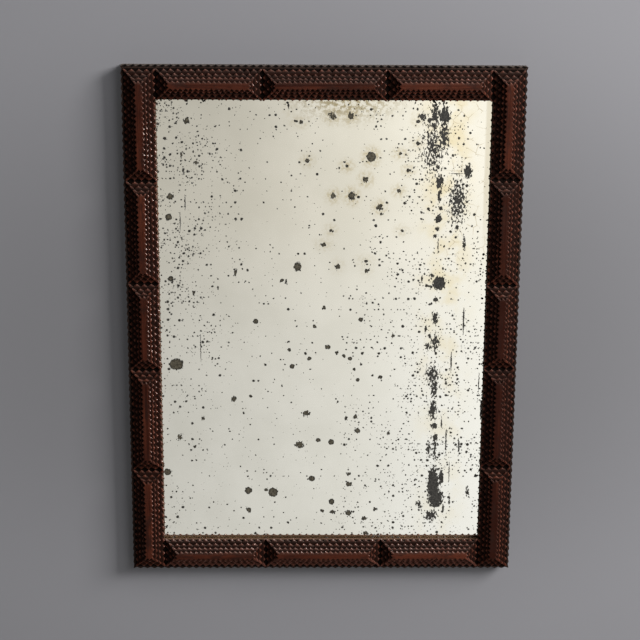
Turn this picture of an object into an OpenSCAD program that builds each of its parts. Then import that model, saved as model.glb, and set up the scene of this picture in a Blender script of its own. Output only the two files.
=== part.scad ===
// Tramp art mirror frame: stacks of notch-carved cigar-box wood on a lapped frame of base boards, a
// mirror in their rabbet, and two ring hangers let into the backs of the stiles.
// Millimetres. X runs to the viewer's right, Y from the carved front to the wall, Z up.
// The origin is the middle of the back, on the wall plane.

/* [Frame] */
// Overall width
frame_w = 382; // [340:1:440]
// Overall height
frame_h = 508; // [470:1:560]
// Width of a stile, from the outer edge to the carved tips at the sight edge
stile_w = 32.5; // [30:0.1:40]
// Width of the top rail, from the outer edge to the carved tips at the sight edge
top_rail_w = 32.3; // [30:0.1:40]
// Width of the bottom rail, from the outer edge to the carved tips at the sight edge
bottom_rail_w = 32.4; // [30:0.1:40]

/* [Base boards] */
// Thickness of the base boards
base_t = 16; // [14:0.5:24]
// How far the base boards' outer edges stand out past the first layer
edge_step = 2.4; // [1.6:0.1:4]
// How far the carved tips stand out past the base boards' lips at the sight edge
tip_overhang = 0.9; // [0.4:0.1:1.5]
// Width of the rabbet behind the carved tips, for the mirror and the back board
rabbet_w = 6.5; // [4:0.5:8]
// Thickness of the lip in front of the mirror
lip_t = 3.5; // [2:0.1:5]
// Spacing of the chip cuts along the outer edges
chip_pitch = 7.1; // [5:0.1:10]
// Depth of a chip cut at the front corner of the edge
chip_depth = 1.4; // [0.6:0.1:1.5]
// Flat left between two chip cuts
chip_land = 0.6; // [0.2:0.1:1.5]
// Plain strip left behind the chip cuts, next to the wall
chip_back = 2; // [1:0.5:5]

/* [Carved layers] */
// Thickness of one layer of cigar-box wood
layer_t = 2.4; // [2:0.1:5]
// Glue line under each layer
glue_t = 0.1; // [0.05:0.05:0.3]
// Step in from the first layer to the second
first_step = 3.8; // [3:0.1:5]
// Step in from the second layer to the third
second_step = 3.5; // [2.5:0.1:4]
// Step in from the third layer to the cap
third_step = 2.8; // [2:0.1:3.5]
// Spacing of the notches on the first and second layers
coarse_pitch = 6.5; // [5:0.1:9]
// Depth of the notches on the first and second layers
coarse_depth = 2.5; // [1.5:0.1:3]
// Spacing of the notches on the third layer and the cap
fine_pitch = 4.9; // [3.5:0.1:6]
// Depth of the notches on the third layer and the cap
fine_depth = 1.8; // [1:0.1:2.2]
// Uncut length at each corner of a layer
corner_land = 1.2; // [0.6:0.1:2]
// Gap between neighbouring blocks
block_gap = 0.6; // [0.2:0.1:2]

/* [Block lengths] */
// Left stile's blocks from the top, with the fifth taking what is left
left_lengths = [106.5, 100.5, 87, 104.5]; // [70:0.5:120]
// Right stile's blocks from the top, with the fifth taking what is left
right_lengths = [104.5, 103.5, 84.5, 103]; // [70:0.5:120]
// Top rail's blocks from the left, with the third taking what is left
top_lengths = [100, 117.5]; // [80:0.5:130]
// Bottom rail's blocks from the left, with the third taking what is left
bottom_lengths = [102, 116]; // [80:0.5:130]

/* [Mirror and back] */
// Thickness of the mirror plate
mirror_t = 3; // [2:0.1:5]
// Room between the mirror's edge and the base boards
mirror_gap = 1; // [0.3:0.1:2]
// Thickness of the back board
back_t = 4; // [3:0.5:6]
// Room between the back board's edge and the base boards
back_gap = 0.5; // [0.3:0.1:2]
// Diameter of a brad
brad_d = 1.4; // [1:0.1:2]
// Length of a brad
brad_len = 15; // [12:0.5:20]
// Length of a brad that is driven into the base board
brad_in = 7; // [5:0.5:8]
// Distance of a stile's outer brads from the middle
stile_brad_pitch = 190; // [180:1:205]
// Distance of a rail's brads from the middle
rail_brad_pitch = 90; // [40:1:120]

/* [Hangers] */
// Height of the rings' pivot above the middle of the frame
hanger_z = 140; // [100:1:150]
// Depth of the recess for a hanger
recess_t = 5; // [4.8:0.1:6]
// Room between the ring and the recess's walls
recess_gap = 1; // [0.5:0.1:1.5]
// Diameter of the ring's wire
ring_wire_d = 2; // [1.6:0.1:2.2]
// Radius of the ring's bend, to the middle of the wire
ring_r = 7; // [6.5:0.1:7.5]
// Length of the ring's straight legs
ring_leg = 5; // [4:0.5:6]
// Running clearance of the ring in the barrel
pivot_fit = 0.05; // [0.02:0.01:0.1]
// Outer diameter of the strap's rolled barrel
barrel_d = 4; // [3.8:0.1:4.2]
// Height of the pivot above the recess's floor
pivot_h = 2.3; // [2.2:0.05:2.6]
// Width of the strap
strap_w = 9; // [8:0.5:10]
// Thickness of the strap
strap_t = 1; // [0.8:0.1:1.1]
// Length of the strap above the pivot
strap_len = 23; // [22:0.5:28]
// Diameter of a screw's shank
screw_d = 2.4; // [2:0.1:2.8]
// Diameter of a screw's head
screw_head_d = 4.8; // [4.2:0.1:5]
// Height of a screw's head
screw_head_h = 1.2; // [1:0.1:1.4]
// Length of a screw's shank below the head
screw_len = 9; // [6:0.5:9.5]
// Height of the lower screw above the pivot
screw_low_z = 6.5; // [6:0.1:7]
// Height of the upper screw above the pivot
screw_high_z = 18.5; // [17:0.1:20]

/* [Hidden] */
$fn = 48;
// Clearance of brads and screws in the holes that they fill
drive_fit = 0.02;
// Room around a screw's shank where it goes through the strap
strap_hole_room = 0.15;
// Cutting shapes run past the faces that they cut by this much
past = 1;

// Sight opening between the carved tips, the wider one between the lips, and the well behind them
sight_w = frame_w - 2 * stile_w;
sight_top = frame_h / 2 - top_rail_w;
sight_bottom = bottom_rail_w - frame_h / 2;
lip_half_w = sight_w / 2 + tip_overhang;
lip_top = sight_top + tip_overhang;
lip_bottom = sight_bottom - tip_overhang;
well_w = sight_w + 2 * rabbet_w;
well_top = sight_top + rabbet_w;
well_bottom = sight_bottom - rabbet_w;
well_mid = (well_top + well_bottom) / 2;
well_h = well_top - well_bottom;

// Distances from the wall, and the places of brads and hangers
lip_back = base_t - lip_t;
mirror_back = lip_back - mirror_t;
board_back = mirror_back - back_t;
lap_t = base_t / 2;
brad_y = -(board_back - brad_d / 2 - drive_fit);
hanger_x = (frame_w + well_w) / 4;
pivot_y = pivot_h - recess_t;
ring_reach = ring_leg + ring_r + ring_wire_d / 2;

// Layer steps, notch sizes and the words for the layers, from the base boards outwards
layer_inset = [0, first_step, first_step + second_step, first_step + second_step + third_step];
layer_pitch = [coarse_pitch, coarse_pitch, fine_pitch, fine_pitch];
layer_depth = [coarse_depth, coarse_depth, fine_depth, fine_depth];
layer_color = ["#4a2018", "#55261c", "#5e2a1f", "#6b3226"];
// Each node holds one layer of a block, but the small third layer and the cap share a node
layer_nodes = [["first_layer", [0]], ["second_layer", [1]], ["third_layer_and_cap", [2, 3]]];

sides = ["left", "right", "top", "bottom"];
side_lengths = [left_lengths, right_lengths, top_lengths, bottom_lengths];

function block_name(s, i) = str(sides[s], "_block_", i + 1);
function layer_node(s, i, k) = str(block_name(s, i), "_", layer_nodes[k][0]);

BOARD_NODES = ["left_stile", "right_stile", "top_rail", "bottom_rail"];
BLOCK_NODES = [
    for (s = [0 : 3]) for (i = [0 : len(side_lengths[s])]) for (k = [0 : 2]) layer_node(s, i, k)
];
BACK_NODES = [
    "mirror_plate", "back_board", "back_board_brads", "left_hanger_strap", "right_hanger_strap",
    "left_hanger_ring", "right_hanger_ring", "hanger_screws"
];

// Sum of the first n numbers of a list
function sum_first(list, n) = n == 0 ? 0 : list[n - 1] + sum_first(list, n - 1);

// Start and end of block i along a side, where the last block runs to the side's end
function block_span(lengths, total, i) =
    [sum_first(lengths, i), i < len(lengths) ? sum_first(lengths, i + 1) : total];

// A block's middle and its first layer's size, as [x, z, width, height]
function stile_block(s, i) =
    let (
        total = frame_h - 2 * edge_step,
        span = block_span(side_lengths[s], total, i),
        width = stile_w - edge_step,
        outward = s == 0 ? -1 : 1
    )
    [
        outward * (sight_w + width) / 2, (total - span[0] - span[1]) / 2,
        width, span[1] - span[0] - block_gap
    ];
function rail_block(s, i) =
    let (
        span = block_span(side_lengths[s], sight_w, i),
        width = (s == 2 ? top_rail_w : bottom_rail_w) - edge_step
    )
    [
        (span[0] + span[1] - sight_w) / 2, s == 2 ? sight_top + width / 2 : sight_bottom - width / 2,
        span[1] - span[0] - block_gap, width
    ];
function block(s, i) = s < 2 ? stile_block(s, i) : rail_block(s, i);

// One notched side of a layer: its corner, then a tip and a valley for each notch
function notched_side(start, along, inward, length, pitch, depth) =
    let (run = length - 2 * corner_land, count = max(1, round(run / pitch)), step = run / count)
    [
        start,
        for (n = [0 : count - 1]) each [
            start + along * (corner_land + n * step),
            start + along * (corner_land + (n + 0.5) * step) + inward * depth
        ],
        start + along * (corner_land + run)
    ];

// A rectangle about the origin with notches along all four sides
function notched_outline(w, h, pitch, depth) = concat(
    notched_side([-w / 2, -h / 2], [1, 0], [0, 1], w, pitch, depth),
    notched_side([w / 2, -h / 2], [0, 1], [-1, 0], h, pitch, depth),
    notched_side([w / 2, h / 2], [-1, 0], [0, -1], w, pitch, depth),
    notched_side([-w / 2, h / 2], [0, -1], [1, 0], h, pitch, depth)
);

// Layer n of a block, lying on the layer below it
module carved_layer(s, i, n) {
    b = block(s, i);
    inset = 2 * layer_inset[n];
    color(layer_color[n])
        translate([b[0], -(base_t + n * layer_t + (n + 1) * glue_t), b[1]])
            rotate([90, 0, 0])
                linear_extrude(layer_t)
                    polygon(notched_outline(b[2] - inset, b[3] - inset, layer_pitch[n], layer_depth[n]));
}

// Chip cuts along a level top edge of the given length, between from and to along it.
// Each is a V that is deepest at the front and runs out before the wall.
module chip_row(edge_z, length, from, to) {
    count = round(length / chip_pitch);
    step = length / count;
    half_width = (step - chip_land) / 2;
    rise = atan(chip_depth / (base_t - chip_back));
    opening = 2 * chip_depth;
    for (n = [0 : count - 1]) {
        x = (n + 0.5) * step - length / 2;
        if (x > from && x < to)
            translate([x, -base_t, edge_z - chip_depth])
                rotate([rise - 90, 0, 0])
                    translate([0, 0, -past])
                        linear_extrude(base_t + 2 * past)
                            polygon([
                                [0, 0],
                                [-half_width * opening / chip_depth, -opening],
                                [half_width * opening / chip_depth, -opening]
                            ]);
    }
}

// The chip cuts of a side's outer edge, limited to a stretch along it
module left_chips(from, to) { rotate([0, -90, 0]) chip_row(frame_w / 2, frame_h, from, to); }
module right_chips(from, to) { rotate([0, 90, 0]) chip_row(frame_w / 2, frame_h, from, to); }
module top_chips(from, to) { chip_row(frame_h / 2, frame_w, from, to); }
module bottom_chips(from, to) { rotate([0, 180, 0]) chip_row(frame_h / 2, frame_w, from, to); }

// Places the brads, pointing out of the well into the base boards
module at_brads() {
    for (side = [-1, 1]) for (z = [-1, 0, 1])
        translate([side * (well_w / 2 + brad_in), brad_y, well_mid + z * stile_brad_pitch])
            rotate([0, -side * 90, 0]) children();
    for (x = [-1, 1]) {
        translate([x * rail_brad_pitch, brad_y, well_top + brad_in]) rotate([180, 0, 0]) children();
        translate([x * rail_brad_pitch, brad_y, well_bottom - brad_in]) children();
    }
}

// Places a screw in each strap, its axis pointing to the wall with z = 0 on the recess's floor
module at_screws(side) {
    for (z = [screw_low_z, screw_high_z])
        translate([side * hanger_x, -recess_t, hanger_z + z]) rotate([-90, 0, 0]) children();
}

// The recess in a stile's back that holds a hanger with its ring down or up, and its screw holes
module hanger_recess(side) {
    half_w = ring_r + ring_wire_d / 2 + recess_gap;
    low = ring_reach + recess_gap;
    high = strap_len + recess_gap;
    translate([side * hanger_x - half_w, -recess_t, hanger_z - low])
        cube([2 * half_w, recess_t + past, low + high]);
    at_screws(side)
        translate([0, 0, strap_t - screw_len - drive_fit])
            cylinder(d = screw_d + 2 * drive_fit, h = screw_len);
}

// Two numbers in rising order
function rising(a, b) = [min(a, b), max(a, b)];

// A slab between two places across, two heights and two distances from the wall
module slab(across, heights, depths) {
    translate([across[0], -depths[1], heights[0]])
        cube([across[1] - across[0], depths[1] - depths[0], heights[1] - heights[0]]);
}

// A base board of a stile: its lip runs the whole height, and its back half is cut away for the rails
module stile_board(side) {
    outer = side * frame_w / 2;
    body = rising(outer, side * well_w / 2);
    whole = [-frame_h / 2, frame_h / 2];
    difference() {
        union() {
            slab(rising(outer, side * lip_half_w), whole, [lip_back, base_t]);
            slab(body, whole, [lap_t, lip_back]);
            slab(body, [well_bottom, well_top], [0, lap_t]);
        }
        hanger_recess(side);
        at_brads() cylinder(d = brad_d + 2 * drive_fit, h = brad_len);
    }
}

// A base board of a rail: its lip fits between the stiles' lips, and its back half runs on behind the stiles
module rail_board(outer, lip, well) {
    body = rising(outer, well);
    difference() {
        union() {
            slab([-lip_half_w, lip_half_w], rising(outer, lip), [lip_back, base_t]);
            slab([-well_w / 2, well_w / 2], body, [lap_t, lip_back]);
            slab([-frame_w / 2, frame_w / 2], body, [0, lap_t]);
        }
        at_brads() cylinder(d = brad_d + 2 * drive_fit, h = brad_len);
    }
}

module left_stile() {
    color("#2b1712") difference() {
        stile_board(-1);
        left_chips(-frame_h / 2, frame_h / 2);
        top_chips(-frame_w / 2, chip_pitch - sight_w / 2);
        bottom_chips(sight_w / 2 - chip_pitch, frame_w / 2);
    }
}

module right_stile() {
    color("#2b1712") difference() {
        stile_board(1);
        right_chips(-frame_h / 2, frame_h / 2);
        top_chips(sight_w / 2 - chip_pitch, frame_w / 2);
        bottom_chips(-frame_w / 2, chip_pitch - sight_w / 2);
    }
}

module top_rail() {
    color("#301a14") difference() {
        rail_board(frame_h / 2, lip_top, well_top);
        top_chips(-frame_w / 2, frame_w / 2);
        left_chips(well_top - chip_pitch, frame_h / 2);
        right_chips(-frame_h / 2, chip_pitch - well_top);
    }
}

module bottom_rail() {
    color("#301a14") difference() {
        rail_board(-frame_h / 2, lip_bottom, well_bottom);
        bottom_chips(-frame_w / 2, frame_w / 2);
        left_chips(-frame_h / 2, well_bottom + chip_pitch);
        right_chips(-well_bottom - chip_pitch, frame_h / 2);
    }
}

module well_plate(back, thickness, gap) {
    translate([gap - well_w / 2, -back - thickness, well_bottom + gap])
        cube([well_w - 2 * gap, thickness, well_h - 2 * gap]);
}

module mirror_plate() {
    color("#e9e4d2") well_plate(mirror_back, mirror_t, mirror_gap);
}

module back_board() {
    color("#8a6a48") well_plate(board_back, back_t, back_gap);
}

module back_board_brads() {
    color("#5a5550") at_brads() cylinder(d = brad_d, h = brad_len);
}

// A strap with its lower end rolled round the ring's bar
module hanger_strap(side) {
    color("#9a7b3c") difference() {
        translate([side * hanger_x, 0, hanger_z]) difference() {
            union() {
                translate([-strap_w / 2, -recess_t, 0]) cube([strap_w, strap_t, strap_len]);
                translate([-strap_w / 2, pivot_y, 0])
                    rotate([0, 90, 0])
                        cylinder(d = barrel_d, h = strap_w);
            }
            translate([-strap_w / 2 - past, pivot_y, 0])
                rotate([0, 90, 0])
                    cylinder(d = ring_wire_d + 2 * pivot_fit, h = strap_w + 2 * past);
        }
        at_screws(side)
            translate([0, 0, -past])
                cylinder(d = screw_d + 2 * strap_hole_room, h = strap_t + 2 * past);
    }
}
module left_hanger_strap() { hanger_strap(-1); }
module right_hanger_strap() { hanger_strap(1); }

// A wire ring hanging from its straight bar, which turns in the strap's barrel
module hanger_ring(side) {
    color("#a5843f") translate([side * hanger_x, pivot_y, hanger_z]) {
        translate([-ring_r, 0, 0]) rotate([0, 90, 0]) cylinder(d = ring_wire_d, h = 2 * ring_r);
        for (x = [-ring_r, ring_r]) {
            translate([x, 0, 0]) sphere(d = ring_wire_d);
            translate([x, 0, -ring_leg]) cylinder(d = ring_wire_d, h = ring_leg);
        }
        translate([0, 0, -ring_leg])
            rotate([90, 180, 0])
                rotate_extrude(angle = 180)
                    translate([ring_r, 0]) circle(d = ring_wire_d);
    }
}
module left_hanger_ring() { hanger_ring(-1); }
module right_hanger_ring() { hanger_ring(1); }

// A round-head wood screw with a slot, its head seated on the strap
module hanger_screw() {
    slot_w = screw_head_d / 6;
    difference() {
        union() {
            translate([0, 0, strap_t - screw_len]) cylinder(d = screw_d, h = screw_len);
            translate([0, 0, strap_t]) cylinder(d = screw_head_d, h = screw_head_h);
        }
        translate([-screw_head_d, -slot_w / 2, strap_t + screw_head_h / 2])
            cube([2 * screw_head_d, slot_w, screw_head_h]);
    }
}
module hanger_screws() {
    color("#7d6a45") for (side = [-1, 1]) at_screws(side) hanger_screw();
}

left_stile();
right_stile();
top_rail();
bottom_rail();
for (s = [0 : 3]) for (i = [0 : len(side_lengths[s])]) for (k = [0 : 2])
    for (n = layer_nodes[k][1]) carved_layer(s, i, n);
mirror_plate();
back_board();
back_board_brads();
left_hanger_strap();
right_hanger_strap();
left_hanger_ring();
right_hanger_ring();
hanger_screws();
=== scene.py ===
import math
import random

import bmesh
import bpy
import numpy as np
from mathutils import Matrix, Vector


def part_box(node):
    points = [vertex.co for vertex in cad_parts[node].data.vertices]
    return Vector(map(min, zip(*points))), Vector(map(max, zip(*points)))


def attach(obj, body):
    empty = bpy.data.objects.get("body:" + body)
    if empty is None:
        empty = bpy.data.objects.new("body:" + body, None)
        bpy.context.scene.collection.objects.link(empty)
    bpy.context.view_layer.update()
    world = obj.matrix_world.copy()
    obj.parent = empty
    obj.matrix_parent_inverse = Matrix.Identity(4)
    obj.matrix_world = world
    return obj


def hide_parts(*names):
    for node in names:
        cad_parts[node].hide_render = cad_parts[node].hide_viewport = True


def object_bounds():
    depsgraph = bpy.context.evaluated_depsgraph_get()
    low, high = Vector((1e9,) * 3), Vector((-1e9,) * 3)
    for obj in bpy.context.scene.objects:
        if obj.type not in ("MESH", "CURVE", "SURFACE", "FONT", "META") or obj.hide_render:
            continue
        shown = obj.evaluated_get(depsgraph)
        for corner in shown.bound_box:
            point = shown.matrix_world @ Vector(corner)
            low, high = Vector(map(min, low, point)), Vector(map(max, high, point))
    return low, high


# A notch-carved frame of cigar-box wood round an old, spotted mirror.
# X runs to the right, Y from the front to the back, Z up, and the middle of the back is the origin.
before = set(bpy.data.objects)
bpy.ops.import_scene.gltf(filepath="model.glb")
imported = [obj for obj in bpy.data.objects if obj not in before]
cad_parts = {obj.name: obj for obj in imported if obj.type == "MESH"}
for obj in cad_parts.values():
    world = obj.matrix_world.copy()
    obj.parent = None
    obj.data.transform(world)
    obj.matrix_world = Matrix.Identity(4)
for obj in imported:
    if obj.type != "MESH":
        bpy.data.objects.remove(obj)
cad_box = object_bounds()
scene = bpy.context.scene
MM = 0.001

# Camera, fitted to the frame's edges in the picture
IMAGE_SIZE = 640
FOCAL_PIXELS = 1600.0
SENSOR_WIDTH = 36.0
CAMERA_PLACE = Vector((-27.9, -1521.1, 422.4)) * MM
CAMERA_TURN = math.radians(0.95)
CAMERA_TILT = math.radians(15.386)
CAMERA_ROLL = math.radians(0.354)

# Stage round the frame
WALL_GAP = 0.5 * MM
WALL_HALF = 4.0
WALL_TOP = 2.2
FLOOR_Z = -1.0
FLOOR_HALF = 30.0
# How bright the sky is to the eye and as a light
SKY_SEEN = 0.91
SKY_LIGHT = 0.08

# Carving
BLOCKS = {"left": 5, "right": 5, "top": 3, "bottom": 3}
NOTCH_PITCHES = (6.6 * MM, 6.4 * MM, 5.3 * MM, 4.8 * MM)
NOTCH_DEPTHS = (2.5 * MM, 2.5 * MM, 1.8 * MM, 1.8 * MM)
CORNER_LAND = 1.2 * MM
CAP_STEP = 2.8 * MM
HAND_UNEVEN = 0.13
# Each notch is cut on the slant: how far its front edge is drawn in as a share of its depth, and how deep
# the slant goes as a share of that
SLANT = 0.4
SLANT_DEPTH = 0.6
# A point belongs to a side of a layer if it lies no further in than this many notch depths
SIDE_REACH = 1.3
ARRIS = 0.2 * MM
ARRIS_ANGLE = math.radians(30)
# How far the teeth of each side are rubbed bright
POLISH = {"left": 0.85, "right": 0.25, "top": 1.0, "bottom": 1.0}
# How much lighter than the wood's middle tone the flat face of each block is, in order from the top or the
# left, and the least and the most for the layers under it
FLAT_TONES = {
    "left": (-0.5, 1.1, -0.4, -0.6, 0.85), "right": (0.3, -0.8, -1.5, -1.2, -1.5),
    "top": (0.0, -1.0, 0.6), "bottom": (0.35, 0.6, 2.4),
}
COVERED_TONES = (-0.3, 1.7)
# How far the upper end of each stile block is kept from the lighter tips and the dust, in order from the
# top:
# painted shade, deeper further down the frame, where less light falls
END_SHADE = (0.0, 0.35, 0.5, 0.8, 0.9)
LAYER_SLIP = 0.25 * MM
LAYER_TURN = math.radians(0.25)
CARVER_SEED = 11
# Each piece has its grain from another place, up to this many metres off
GRAIN_SPREAD = 5.0

# Turns that lay a board's grain up the frame or across it
GRAIN_UP = (0.0, math.pi / 2, 0.0)
GRAIN_ACROSS = (0.0, 0.0, 0.0)

# Mirror: seen through the glass, the silver seems to lie this far behind the glass's front
SILVER_BEHIND = 2.4 * MM
SILVER_ARRIS = 0.3 * MM

# Bare patches in the silver: across and up from the middle, half width, half height, all in millimetres,
# and raggedness as a share of the size. Places and sizes were read in the picture's pixels and
# turned into millimetres through a camera fit
SPOTS = (
    # Down the left side
    (-130, 202, 3.0, 2.8, 0.3), (-147, 129, 3.3, 3.0, 0.2), (-149, 109, 3.4, 3.3, 0.2),
    (-136, 169, 1.1, 3.0, 0.5), (-134, 154, 0.9, 3.0, 0.5), (-148, 48, 2.6, 2.6, 0.1),
    (-144, -39, 7.0, 6.0, 0.15), (-118, -95, 1.9, 2.0, 0.6), (-127, -125, 1.7, 1.7, 0.3),
    (-155, -152, 3.5, 3.5, 0.1), (-142, -115, 2.6, 2.6, 0.9), (-122, 162, 1.8, 1.8, 0.7),
    (-126, 34, 1.5, 1.7, 0.3), (-130, 221, 1.5, 1.7, 0.5), (-114, 221, 1.5, 0.9, 0.5),
    # In the upper middle
    (8, 207, 3.0, 3.0, 0.7), (25, 207, 2.8, 3.2, 0.3), (-22, 201, 1.8, 1.8, 0.3),
    (-27, 202, 1.6, 1.2, 0.4), (45, 168, 4.6, 4.9, 0.1), (-16, 164, 2.2, 2.2, 0.25),
    (22, 159, 1.7, 1.5, 0.2), (40, 146, 2.8, 2.9, 0.3), (9, 130, 2.7, 2.8, 0.3), (27, 130, 3.4, 4.0, 0.3),
    (54, 119, 2.7, 2.9, 0.4), (7, 96, 1.5, 1.5, 0.4), (0, 82, 2.8, 1.9, 0.3), (89, 181, 1.9, 1.8, 0.2),
    (81, 155, 1.9, 1.8, 0.4), (73, 171, 1.7, 1.3, 0.3), (72, 135, 1.8, 1.6, 0.4), (76, 96, 1.8, 1.5, 0.3),
    (93, 206, 3.6, 3.5, 0.7), (89, 202, 1.7, 1.6, 0.3), (100, 203, 2.2, 2.6, 0.5),
    (-34, 216, 0.9, 2.2, 0.5),
    # Across the middle
    (-25, 60, 4.0, 4.4, 0.25), (14, 60, 2.6, 2.9, 0.3), (-40, 46, 2.0, 2.0, 0.4),
    (-36, 45, 1.3, 2.2, 0.5), (-85, 54, 1.6, 3.3, 0.5), (-66, 5, 2.6, 2.6, 0.1), (-8, 0, 1.9, 1.9, 0.2),
    (1, 19, 1.8, 1.9, 0.4), (37, 7, 2.2, 2.2, 0.15), (5, -21, 2.7, 2.4, 0.3), (27, -33, 2.1, 2.0, 0.15),
    (21, -30, 1.6, 1.6, 0.4), (14, -27, 1.6, 1.8, 0.4), (-13, -33, 1.9, 2.2, 0.2),
    (-30, -41, 2.5, 2.5, 0.15), (-33, -24, 1.7, 1.7, 0.2), (42, 56, 1.9, 2.0, 0.3),
    (41, 66, 2.1, 1.2, 0.4), (35, -55, 1.9, 2.0, 0.15), (57, -52, 1.9, 1.9, 0.3),
    (31, -44, 1.5, 1.5, 0.2), (69, -9, 1.7, 2.2, 0.5), (-88, -75, 2.4, 3.0, 0.4),
    (-71, -72, 1.5, 1.4, 0.4),
    # Low down
    (-16, -90, 3.4, 3.0, 0.4), (-23, -123, 4.4, 3.5, 0.3), (-4, -118, 2.3, 2.4, 0.2),
    (9, -120, 3.0, 3.0, 0.1), (24, -95, 1.4, 2.7, 0.4), (33, -93, 1.9, 2.0, 0.5),
    (35, -108, 2.7, 2.8, 0.3), (-10, -159, 3.0, 3.2, 0.15), (27, -154, 2.6, 1.9, 0.4),
    (27, -165, 3.3, 2.5, 0.2), (10, -184, 2.8, 3.2, 0.15), (11, -195, 2.8, 1.8, 0.3),
    (1, -194, 2.0, 1.9, 0.4), (27, -196, 3.4, 2.7, 0.3), (43, -202, 2.7, 2.3, 0.4),
    (54, -192, 1.9, 1.9, 0.4), (45, -218, 3.1, 1.7, 0.3), (-49, -174, 4.9, 5.0, 0.08),
    (-56, -171, 1.9, 1.5, 0.3), (-74, -172, 3.7, 3.8, 0.12), (-74, -193, 2.4, 2.9, 0.45),
    (66, -111, 1.6, 1.9, 0.3), (98, -186, 2.5, 2.6, 0.6),
)
# The worn strip down the right side
STRIP = (
    (105, 208, 3.1, 15.1, 0.9), (114, 207, 5.2, 8.5, 0.35), (114, 187, 4.1, 12.0, 0.9),
    (104, 178, 5.9, 17.0, 1.5), (109, 169, 2.0, 1.9, 0.7), (109, 158, 2.3, 1.9, 0.5),
    (111, 144, 3.4, 6.8, 0.45), (111, 130, 1.7, 5.8, 0.8), (113, 118, 2.0, 2.0, 0.4),
    (111, 108, 3.0, 4.2, 0.3), (110, 98, 2.1, 2.1, 0.3), (108, 91, 1.8, 1.8, 0.4),
    (138, 154, 3.7, 6.8, 0.4), (129, 126, 6.4, 16.6, 1.1), (137, 140, 1.7, 1.6, 0.3),
    (129, 100, 1.5, 3.0, 0.5), (113, 44, 6.3, 7.0, 0.25), (103, 41, 2.8, 0.8, 0.3),
    (106, 52, 2.0, 2.0, 0.7), (110, 27, 2.5, 2.3, 0.3), (105, 23, 1.5, 1.5, 0.3), (110, 9, 2.8, 5.9, 0.6),
    (101, -3, 1.3, 3.1, 0.5), (111, -16, 3.3, 6.9, 0.9), (104, -20, 3.0, 3.1, 0.8),
    (105, -9, 1.6, 1.6, 0.4), (109, -50, 5.1, 7.8, 1.0), (111, -63, 2.9, 8.6, 0.7),
    (110, -86, 3.7, 9.5, 0.7), (112, -103, 2.9, 3.0, 0.4), (113, -115, 3.1, 3.5, 0.4),
    (113, -128, 1.3, 10.7, 0.7), (107, -127, 1.8, 6.4, 1.0), (112, -164, 6.0, 17.3, 0.25),
    (115, -180, 7.8, 9.8, 0.3), (120, -157, 1.9, 8.6, 0.5), (111, -199, 4.9, 5.5, 0.5),
    (155, -156, 1.9, 1.9, 0.3), (160, -216, 2.1, 2.2, 0.5),
)
# Upright scratches and runs
SCRATCHES = (
    (-133, 123, 0.5, 6.5, 0.2), (-138, 105, 0.4, 8.0, 0.3), (-120, -22, 0.4, 12.0, 0.2),
    (113, 219, 0.7, 3.8, 0.5), (111, 82, 0.5, 6.9, 0.3), (128, 152, 6.9, 0.4, 0.3),
    (136, 83, 1.2, 6.9, 0.6), (96, 48, 0.8, 4.0, 0.4), (138, 6, 0.7, 12.7, 0.2),
    (127, -36, 0.7, 10.0, 0.2), (155, -58, 0.5, 7.8, 0.3), (158, -86, 0.8, 10.2, 0.2),
    (119, -100, 0.7, 5.3, 0.4), (124, -119, 0.7, 11.7, 0.3), (137, -124, 0.8, 8.0, 0.5),
    (128, -152, 0.5, 10.7, 0.2), (129, -182, 0.8, 5.4, 0.4), (123, -191, 1.0, 4.4, 0.4),
    (147, -173, 1.4, 4.9, 0.7),
)
# Specks: size of the cells that each hold one at most, the largest radius as a share of a cell, the share
# of cells that have one where they are thickest, and how dark they are
SPECKS = ((5.6 * MM, 0.26, 0.85, 1.0), (3.4 * MM, 0.26, 0.62, 1.0), (1.8 * MM, 0.25, 0.24, 0.9))
# How thick they are where they are thinnest, as a share
LEAST_CROWDING = 0.14


# Small helpers for node trees

def plug(tree, socket, value):
    """Links a socket to another, or sets its value."""
    if isinstance(value, bpy.types.NodeSocket):
        tree.links.new(value, socket)
    elif socket.type == "RGBA" and len(value) == 3:
        socket.default_value = (*value, 1.0)
    else:
        socket.default_value = value


def add(tree, kind, inputs=None, **settings):
    """A new node with its settings, and its inputs by name or number."""
    made = tree.nodes.new(kind)
    for name, value in settings.items():
        setattr(made, name, value)
    for name, value in (inputs or {}).items():
        plug(tree, made.inputs[name], value)
    return made


def calc(tree, operation, *values, clamp=False):
    """The result of a Math node."""
    made = add(tree, "ShaderNodeMath", dict(enumerate(values)), operation=operation, use_clamp=clamp)
    return made.outputs[0]


def vector_calc(tree, operation, *values):
    """The result of a Vector Math node."""
    return add(tree, "ShaderNodeVectorMath", dict(enumerate(values)), operation=operation).outputs[0]


def combine(tree, x, y, z):
    return add(tree, "ShaderNodeCombineXYZ", {0: x, 1: y, 2: z}).outputs[0]


def separate(tree, vector):
    return add(tree, "ShaderNodeSeparateXYZ", {0: vector}).outputs


def step(tree, value, low, high, to_low=0.0, to_high=1.0):
    """A smooth step from to_low to to_high as value goes from low to high."""
    inputs = {"Value": value, "From Min": low, "From Max": high, "To Min": to_low, "To Max": to_high}
    return add(tree, "ShaderNodeMapRange", inputs, interpolation_type="SMOOTHSTEP").outputs["Result"]


def blend_colour(tree, share, first, second):
    """The first colour turning into the second by share."""
    made = add(tree, "ShaderNodeMix", data_type="RGBA", blend_type="MIX")
    for number, value in ((0, share), (6, first), (7, second)):
        plug(tree, made.inputs[number], value)
    return made.outputs[2]


def noise(tree, place, scale, detail=2.0, roughness=0.5, dimensions="3D", distortion=0.0):
    """The value of a Noise Texture."""
    inputs = {
        "Vector": place, "Scale": scale, "Detail": detail, "Roughness": roughness, "Distortion": distortion,
    }
    return add(tree, "ShaderNodeTexNoise", inputs, noise_dimensions=dimensions).outputs["Fac"]


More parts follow.
